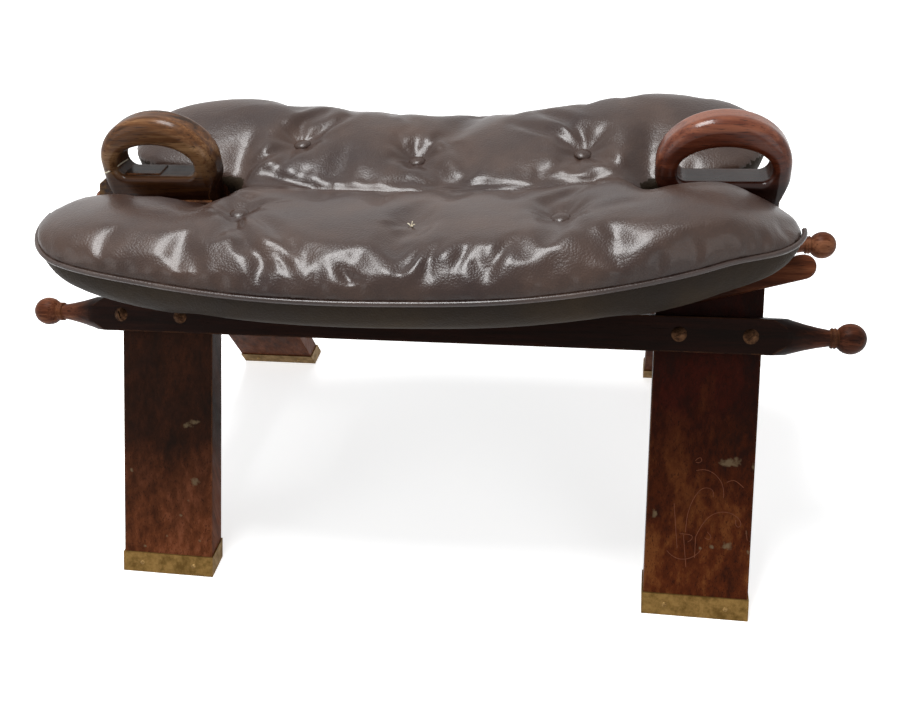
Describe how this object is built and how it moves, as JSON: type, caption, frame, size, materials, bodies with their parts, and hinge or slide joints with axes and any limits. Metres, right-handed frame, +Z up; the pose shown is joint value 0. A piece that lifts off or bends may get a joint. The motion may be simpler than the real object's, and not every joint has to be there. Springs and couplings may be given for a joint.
{
  "type": "camel saddle stool",
  "caption": "Low stool shaped as a camel saddle: splayed board legs, two loop pommels, two side rails with turned balls, and a long tufted leather cushion that lifts off.",
  "frame": {"origin": "on the floor, under the centre of the overall box", "axes": "+X along the stool and its rails, +Y to the rear side, +Z up"},
  "size_m": [0.6836, 0.3542, 0.3555],
  "materials": {
    "wood": "satin",
    "brass": "satin",
    "steel": "satin",
    "leather_top": "gloss",
    "leather_under": "satin",
    "padding": "matte",
    "twine": "matte"
  },
  "bodies": {
    "frame": {"leg_front_left": "wood", "leg_front_right": "wood", "leg_rear_left": "wood", "leg_rear_right": "wood", "foot_band_front_left": "brass", "foot_band_front_right": "brass", "foot_band_rear_left": "brass", "foot_band_rear_right": "brass", "foot_band_nails": "brass", "pommel_left": "wood", "pommel_right": "wood", "rail_front": "wood", "rail_rear": "wood", "slat_front": "wood", "slat_rear": "wood", "rail_screws_front": "steel", "rail_screws_rear": "steel", "slat_screws_front": "steel", "slat_screws_rear": "steel", "top_screws_front": "steel", "top_screws_rear": "steel"},
    "cushion": {"cushion_filling": "padding", "cushion_top_cover": "leather_top", "cushion_underside": "leather_under", "cushion_piping_front": "leather_top", "cushion_piping_rear": "leather_top", "cushion_buttons": "leather_top", "cushion_twines": "twine"}
  },
  "joints": [
    {"name": "cushion_lift", "type": "slide", "parent": "frame", "child": "cushion", "axis": [0, 0, 1], "range_m": [0, 0.15]}
  ]
}
